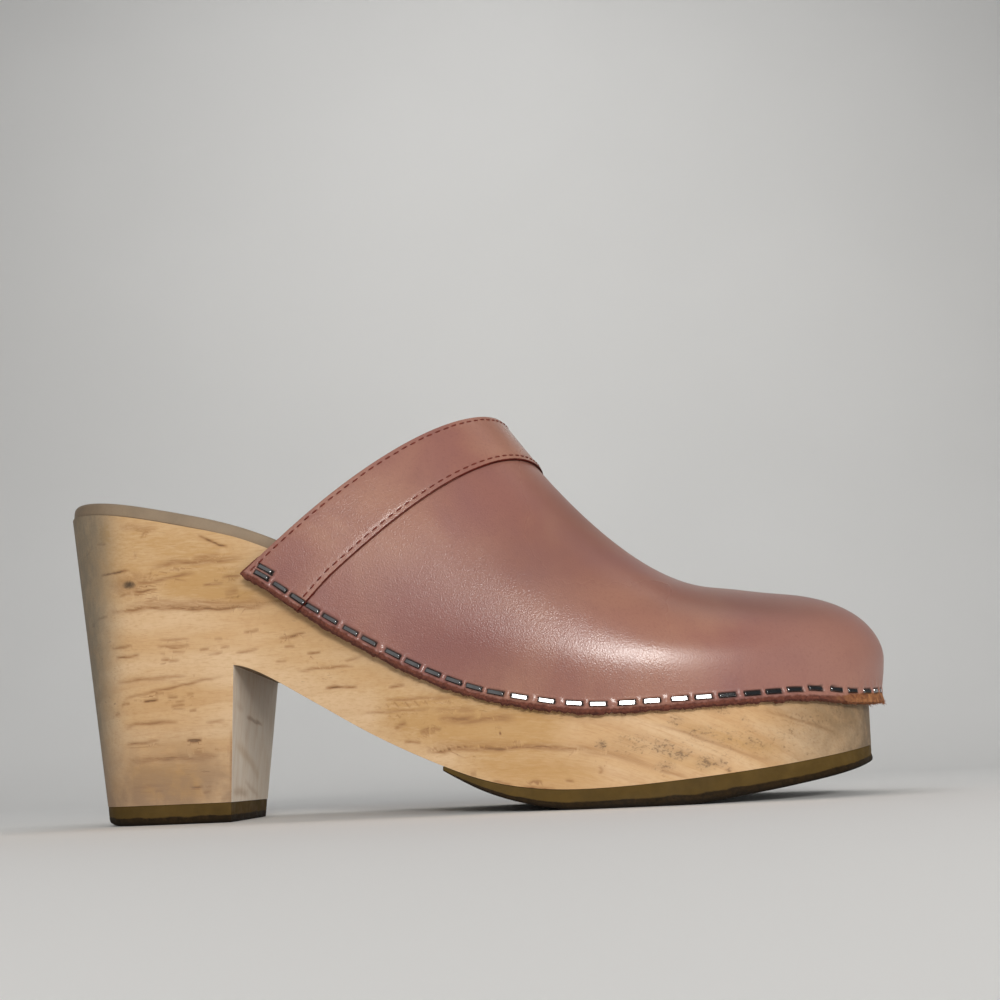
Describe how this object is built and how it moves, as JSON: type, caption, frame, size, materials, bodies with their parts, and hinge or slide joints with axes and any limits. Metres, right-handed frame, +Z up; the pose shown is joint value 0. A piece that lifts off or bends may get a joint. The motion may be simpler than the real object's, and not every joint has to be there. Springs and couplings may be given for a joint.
{
  "type": "platform clog",
  "caption": "Right-foot mule clog: a smooth leather upper with a sewn collar band, stapled to a carved wooden sole with a high block heel, arched waist and thin rubber treads.",
  "frame": {"origin": "centre of the shoe's box, on the floor it stands on", "axes": "+X to the toe, +Y to the inner (medial) side of the foot, +Z up"},
  "size_m": [0.2322, 0.0872, 0.1102],
  "materials": {
    "wood_sole": "pale sanded pine, matt, with brown grain streaks",
    "forefoot_outsole": "amber-brown rubber, worn and dusty",
    "heel_lift": "amber-brown rubber, worn and dusty",
    "insole": "taupe leather, soft sheen",
    "upper": "dusty pink smooth leather, semi-gloss",
    "collar_band": "dusty pink smooth leather, semi-gloss"
  },
  "bodies": {
    "root": {"wood_sole": "wood_sole", "forefoot_outsole": "forefoot_outsole", "heel_lift": "heel_lift", "insole": "insole", "upper": "upper", "collar_band": "collar_band"}
  },
  "joints": []
}
